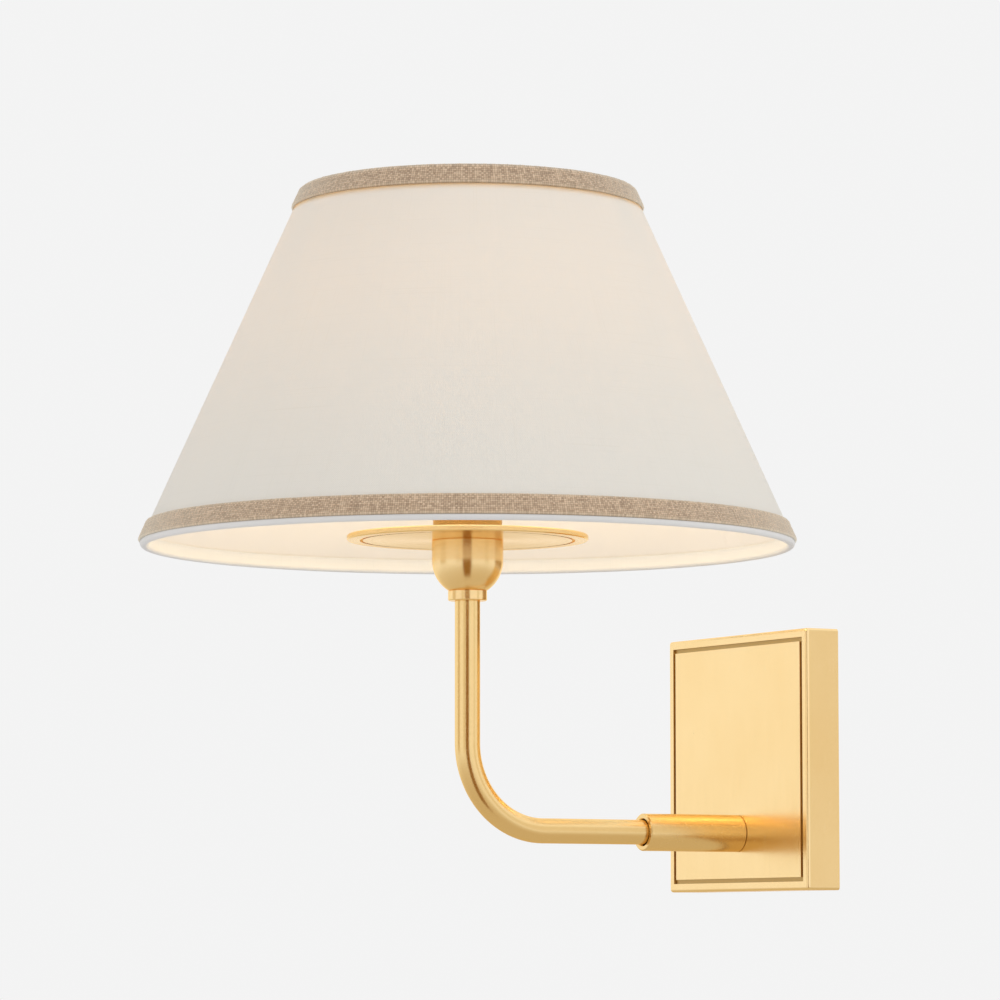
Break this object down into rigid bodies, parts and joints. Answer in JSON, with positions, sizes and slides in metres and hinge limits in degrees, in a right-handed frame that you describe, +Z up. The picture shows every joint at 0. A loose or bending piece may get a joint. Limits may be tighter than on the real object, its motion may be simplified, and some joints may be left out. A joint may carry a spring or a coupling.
{
  "type": "wall sconce",
  "caption": "Brass wall sconce: square backplate, bent tube arm, disc over a cup, and a cone-shaped linen shade with woven tape on its edges, open above and below.",
  "frame": {"origin": "middle of the backplate's rear plane, on the wall", "axes": "+Z up, +Y into the wall, +X to the right of someone who faces the wall"},
  "size_m": [0.3183, 0.3307, 0.3385],
  "materials": {
    "mounting_bracket": "zinc plated",
    "ground_screw": "green",
    "backplate": "brushed, satin",
    "cover_screws": "satin",
    "hub_sleeve": "satin",
    "hub_nipple": "raw",
    "hub_washer": "zinc plated",
    "hub_nut": "raw",
    "arm_tube": "satin",
    "stem_collar": "satin",
    "stem_nipple": "raw",
    "cup_nut": "raw",
    "socket_cup": "satin",
    "light_disc": "satin",
    "disc_ring": "satin",
    "socket_cap": "black",
    "socket_body": "off-white",
    "screw_shell": "raw",
    "centre_contact": "raw",
    "terminal_screws": "raw",
    "live_lead": "black insulation",
    "neutral_lead": "white insulation",
    "ground_lead": "bare copper",
    "wire_connectors": "orange",
    "shade_ring": "black",
    "uno_ring": "white",
    "fitter_arms": "white",
    "top_wire_ring": "white",
    "bottom_wire_ring": "white",
    "shade_liner": "translucent cream",
    "shade_fabric": "white linen weave",
    "top_trim": "natural woven tape",
    "bottom_trim": "natural woven tape",
    "top_binding": "white linen tape",
    "bottom_binding": "white linen tape",
    "bulb_glass": "frosted",
    "bulb_cap": "bright",
    "bulb_insulator": "black glass",
    "bulb_contact": "tinned",
    "bulb_stem": "clear",
    "bulb_filament": "yellow coating"
  },
  "bodies": {
    "base": {"mounting_bracket": "mounting_bracket", "ground_screw": "ground_screw", "backplate": "backplate", "cover_screws": "cover_screws", "hub_sleeve": "hub_sleeve", "hub_nipple": "hub_nipple", "hub_washer": "hub_washer", "hub_nut": "hub_nut", "arm_tube": "arm_tube", "stem_collar": "stem_collar", "stem_nipple": "stem_nipple", "cup_nut": "cup_nut", "socket_cup": "socket_cup", "light_disc": "light_disc", "disc_ring": "disc_ring", "socket_cap": "socket_cap", "socket_body": "socket_body", "screw_shell": "screw_shell", "centre_contact": "centre_contact", "terminal_screws": "terminal_screws", "live_lead": "live_lead", "neutral_lead": "neutral_lead", "ground_lead": "ground_lead", "wire_connectors": "wire_connectors"},
    "shade": {"uno_ring": "uno_ring", "fitter_arms": "fitter_arms", "top_wire_ring": "top_wire_ring", "bottom_wire_ring": "bottom_wire_ring", "shade_liner": "shade_liner", "shade_fabric": "shade_fabric", "top_trim": "top_trim", "bottom_trim": "bottom_trim", "top_binding": "top_binding", "bottom_binding": "bottom_binding"},
    "shade_ring": {"shade_ring": "shade_ring"},
    "bulb": {"bulb_glass": "bulb_glass", "bulb_cap": "bulb_cap", "bulb_insulator": "bulb_insulator", "bulb_contact": "bulb_contact", "bulb_stem": "bulb_stem", "bulb_filament": "bulb_filament"}
  },
  "joints": [
    {"name": "shade_turn", "type": "hinge", "parent": "base", "child": "shade", "pos_m": [0, -0.1715, 0], "axis": [0, 0, 1], "continuous": true},
    {"name": "shade_ring_turn", "type": "hinge", "parent": "base", "child": "shade_ring", "pos_m": [0, -0.1715, 0], "axis": [0, 0, 1], "continuous": true},
    {"name": "bulb_turn", "type": "hinge", "parent": "base", "child": "bulb", "pos_m": [0, -0.1715, 0], "axis": [0, 0, 1], "continuous": true}
  ]
}
